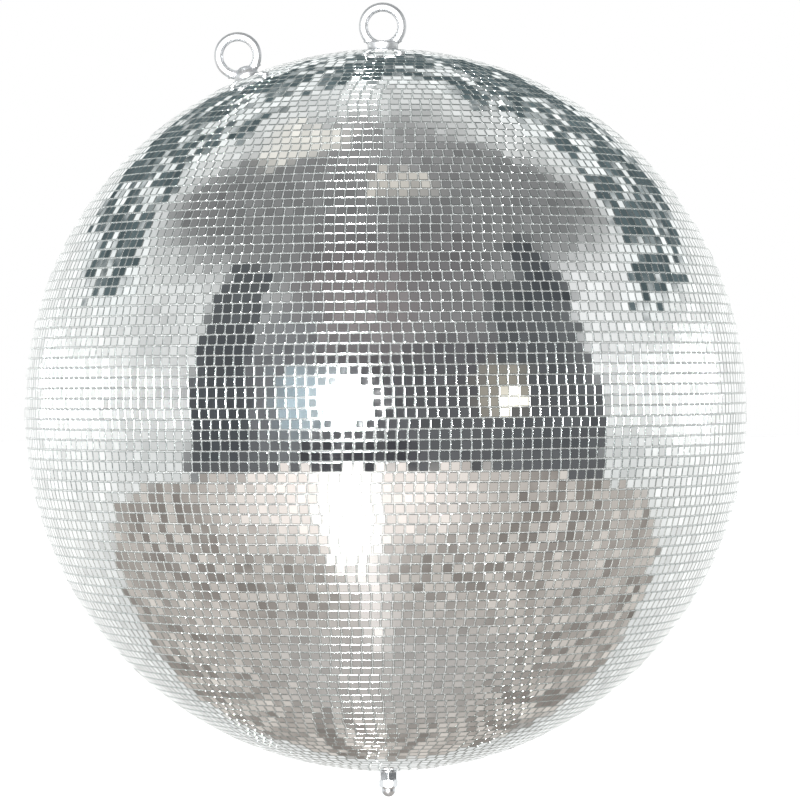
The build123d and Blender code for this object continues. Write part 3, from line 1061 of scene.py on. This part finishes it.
def foliage(tree, colour, angles, direction, column):
    """Dark leaves against pale light, high up behind the ball on both sides.

    They lie between 18 degrees and an upper edge that rises from 28 to 58 degrees as they go further back,
    and they thin out towards these edges.
    """
    azimuth, elevation = angles
    aside = math_node(tree, "ABSOLUTE", (column, 5), azimuth)
    edge = ramp(tree, (column, 6), aside, 90.0, 135.0, 28.0, 58.0)
    under = math_node(tree, "SUBTRACT", (column + 1, 7), edge, elevation)
    area = product(
        tree, (column + 3, 5), step_between(tree, (column + 2, 6), under, -4.0, 12.0),
        step_between(tree, (column + 1, 5), aside, 90.0, 103.0),
        step_between(tree, (column + 1, 4), elevation, 15.0, 23.0),
    )
    sky = mix_colour(tree, (column + 4, 1), area, colour, (1.05, 1.09, 1.09))
    clumps = noise(tree, (column + 1, 8), direction, 11.5, 5.0)
    sparse = math_node(tree, "MULTIPLY_ADD", (column + 2, 8), area, -0.22, clumps)
    leaves = step_between(tree, (column + 3, 7), sparse, 0.362, 0.292)
    amount = product(tree, (column + 4, 5), leaves, step_between(tree, (column + 3, 6), area, 0.05, 0.25))
    shade = noise(tree, (column + 3, 9), direction, 26.0)
    leaf = mix_colour(tree, (column + 4, 2), shade, (0.030, 0.045, 0.052), (0.19, 0.25, 0.265))
    return mix_colour(tree, (column + 5, 0), amount, sky, leaf)


def floor_below(tree, colour, angles, direction, column):
    """The studio floor: it starts 17 degrees down in front, and 35 degrees down behind.

    The flash makes a pink-white pool on it, with a burnt-out streak in the middle and its tail below. Round
    the pool, bands follow the distance from its middle, with azimuth counted 0.45 times.
    """
    azimuth, elevation = angles
    pool_azimuth, pool_elevation, squeeze = -12.0, -26.0, 0.45
    aside = math_node(tree, "MULTIPLY_ADD", (column, 8), azimuth, squeeze, -squeeze * pool_azimuth)
    down = math_node(tree, "ADD", (column, 9), elevation, -pool_elevation)
    squares = [
        math_node(tree, "MULTIPLY", (column + 1, line), side, side) for line, side in ((8, aside), (9, down))
    ]
    reach = math_node(tree, "SQRT", (column + 3, 8), math_node(tree, "ADD", (column + 2, 8), *squares))
    bands = node(tree, "ShaderNodeTexNoise", (column + 4, 8), {
        "W": reach, "Scale": 0.45, "Detail": 2.0,
    }, noise_dimensions="1D")
    banding = math_node(tree, "MULTIPLY", (column + 5, 7), bands.outputs["Fac"], 0.75)
    wear = math_node(tree, "MULTIPLY", (column + 5, 6), noise(tree, (column + 4, 6), direction, 14.0), 0.25)
    worn = math_node(tree, "ADD", (column + 6, 7), banding, wear)
    tone = step_between(tree, (column + 7, 7), worn, 0.38, 0.60)
    boards = mix_colour(tree, (column + 1, 3), tone, (0.30, 0.27, 0.248), (0.70, 0.652, 0.606))
    pool = step_between(tree, (column + 5, 9), reach, 26.0, 6.0)
    low = step_between(tree, (column + 5, 10), elevation, -52.0, -80.0)
    streak = studio_patch(tree, "streak", (column + 5, 11), angles, (-12.5, -33.0, 5.5, 15.0), 9.0, 1.0)
    tail = studio_patch(tree, "tail", (column + 5, 13), angles, (-9.0, -64.0, 9.0, 18.0), 10.0, 0.7)
    layers = (
        (pool, (1.20, 1.10, 1.04)),
        (low, (0.53, 0.505, 0.485)),
        (streak, (4.5, 4.4, 4.3)),
        (tail, (1.25, 1.18, 1.14)),
    )
    for offset, (share, tint) in enumerate(layers, 2):
        boards = mix_colour(tree, (column + offset, 3), share, boards, tint)
    turned_away = math_node(tree, "ABSOLUTE", (column, 6), azimuth)
    horizon = ramp(tree, (column, 5), turned_away, 85.0, 140.0, 17.0, 35.0, "SMOOTHSTEP")
    below = math_node(tree, "ADD", (column + 1, 5), elevation, horizon)
    seen = step_between(tree, (column + 2, 5), below, 0.8, -0.8)
    return mix_colour(tree, (column + 5, 0), seen, colour, boards)


class BALL_OT_stage(bpy.types.Operator):
    """Sets the floor, the lights, the surroundings and the camera"""

    bl_idname = "ball.stage"
    bl_label = "Stage"

    def execute(self, context):
        chosen = settings("stage")
        scene = context.scene
        scene.view_settings.view_transform = "Standard"
        self.floor(chosen)
        self.world(scene)
        self.flash(scene, chosen)
        self.overhead(scene, chosen)
        self.camera(scene, chosen)
        return {"FINISHED"}

    def floor(self, chosen):
        """A wide pale floor that the mirrors don't show, because they show the surroundings."""
        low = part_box("cap_nut")[0].z - chosen.floor_drop
        reach = 40.0
        corners = [(-reach, -reach), (reach, -reach), (reach, reach), (-reach, reach)]
        points = np.column_stack([corners, np.full(4, low)])
        floor = new_mesh("floor", points, [np.array([[0, 1, 2, 3]])], smooth=False)
        material, tree, shader = new_material("pale_floor")
        feed(tree, shader, {"Base Color": (*chosen.floor_colour, 1), "Roughness": 0.8})
        floor.data.materials.append(material)
        floor.visible_glossy = False

    def world(self, scene):
        """White to the camera, and the studio to everything else."""
        world = bpy.data.worlds.new("studio")
        world.use_nodes = True
        scene.world = world
        tree = world.node_tree
        tree.nodes.clear()
        seen = node(tree, "ShaderNodeBackground", (35, 1), {"Color": (1, 1, 1, 1), "Strength": 1.0})
        around = node(tree, "ShaderNodeBackground", (35, 0), {"Color": surroundings(tree), "Strength": 1.0})
        path = node(tree, "ShaderNodeLightPath", (35, -2))
        blend = node(tree, "ShaderNodeMixShader", (36, 0), {
            "Fac": path.outputs["Is Camera Ray"], 1: around.outputs[0], 2: seen.outputs[0],
        })
        node(tree, "ShaderNodeOutputWorld", (37, 0), {"Surface": blend.outputs[0]})

    def flash(self, scene, chosen):
        """A round soft box 8 m away, 12 degrees left of the camera and 3 degrees up, 14 degrees across."""
        distance, left, up, half = 8.0, math.radians(-12), math.radians(3), math.radians(7)
        width = 2 * distance * math.tan(half)
        light = bpy.data.lights.new("soft_box", "AREA")
        light.shape = "ELLIPSE"
        light.size, light.size_y = width, width
        light.energy = chosen.flash_radiance * math.pi * (math.pi / 4 * width**2)
        box = bpy.data.objects.new("soft_box", light)
        scene.collection.objects.link(box)
        towards = Vector((math.sin(left) * math.cos(up), -math.cos(left) * math.cos(up), math.sin(up)))
        box.location = Vector((0, 0, CENTRE_Z)) + towards * distance
        box.rotation_mode = "QUATERNION"
        box.rotation_quaternion = towards.to_track_quat("Z", "Y")
        box.visible_camera = False

    def overhead(self, scene, chosen):
        """A very soft light from above, which the mirrors don't show."""
        light = bpy.data.lights.new("overhead", "SUN")
        light.energy = chosen.overhead
        light.angle = math.radians(60)
        lamp = bpy.data.objects.new("overhead", light)
        scene.collection.objects.link(lamp)
        lamp.visible_glossy = False

    def camera(self, scene, chosen):
        """A long lens, level with the ball's middle."""
        camera = bpy.data.cameras.new("camera")
        camera.lens, camera.sensor_width = chosen.lens, 36.0
        camera.shift_x, camera.shift_y = chosen.shift
        camera.clip_end = 200.0
        eye = bpy.data.objects.new("camera", camera)
        scene.collection.objects.link(eye)
        back = Vector((0, -math.cos(chosen.elevation), math.sin(chosen.elevation)))
        eye.location = Vector((0, 0, CENTRE_Z)) + back * chosen.distance
        eye.rotation_mode = "QUATERNION"
        eye.rotation_quaternion = (-back).to_track_quat("-Z", "Y") @ Quaternion((0, 0, 1), chosen.roll)
        scene.camera = eye


# Panel and registration


class BALL_PT_panel(bpy.types.Panel):
    """Lists the mirror ball's operators and settings"""

    bl_idname = "BALL_PT_panel"
    bl_label = "Mirror ball"
    bl_space_type = "VIEW_3D"
    bl_region_type = "UI"
    bl_category = "Mirror ball"

    def draw(self, context):
        for operator in OPERATORS:
            self.layout.operator(operator.bl_idname)
        for name in GROUPS:
            box = self.layout.box()
            box.label(text=name.capitalize())
            chosen = settings(name)
            for key in chosen.__annotations__:
                box.prop(chosen, key)


OPERATORS = (BALL_OT_stage, BALL_OT_mirrors, BALL_OT_adhesive, BALL_OT_eyes, BALL_OT_nuts, BALL_OT_finishes)
GROUPS = {"mirrors": MirrorSettings, "eyes": EyeSettings, "nuts": NutSettings, "stage": StageSettings}


def register():
    """Registers the classes and hangs the settings on the scene."""
    for kind in (*GROUPS.values(), *OPERATORS, BALL_PT_panel):
        bpy.utils.register_class(kind)
    for name, kind in GROUPS.items():
        setattr(bpy.types.Scene, "ball_" + name, bpy.props.PointerProperty(type=kind))


def unregister():
    """Takes them away again."""
    for name in GROUPS:
        delattr(bpy.types.Scene, "ball_" + name)
    for kind in (BALL_PT_panel, *reversed(OPERATORS), *reversed(list(GROUPS.values()))):
        bpy.utils.unregister_class(kind)


def main():
    """Builds everything."""
    register()
    for name in ("stage", "mirrors", "adhesive", "eyes", "nuts", "finishes"):
        getattr(bpy.ops.ball, name)()
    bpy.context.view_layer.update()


if __name__ == "__main__":
    main()
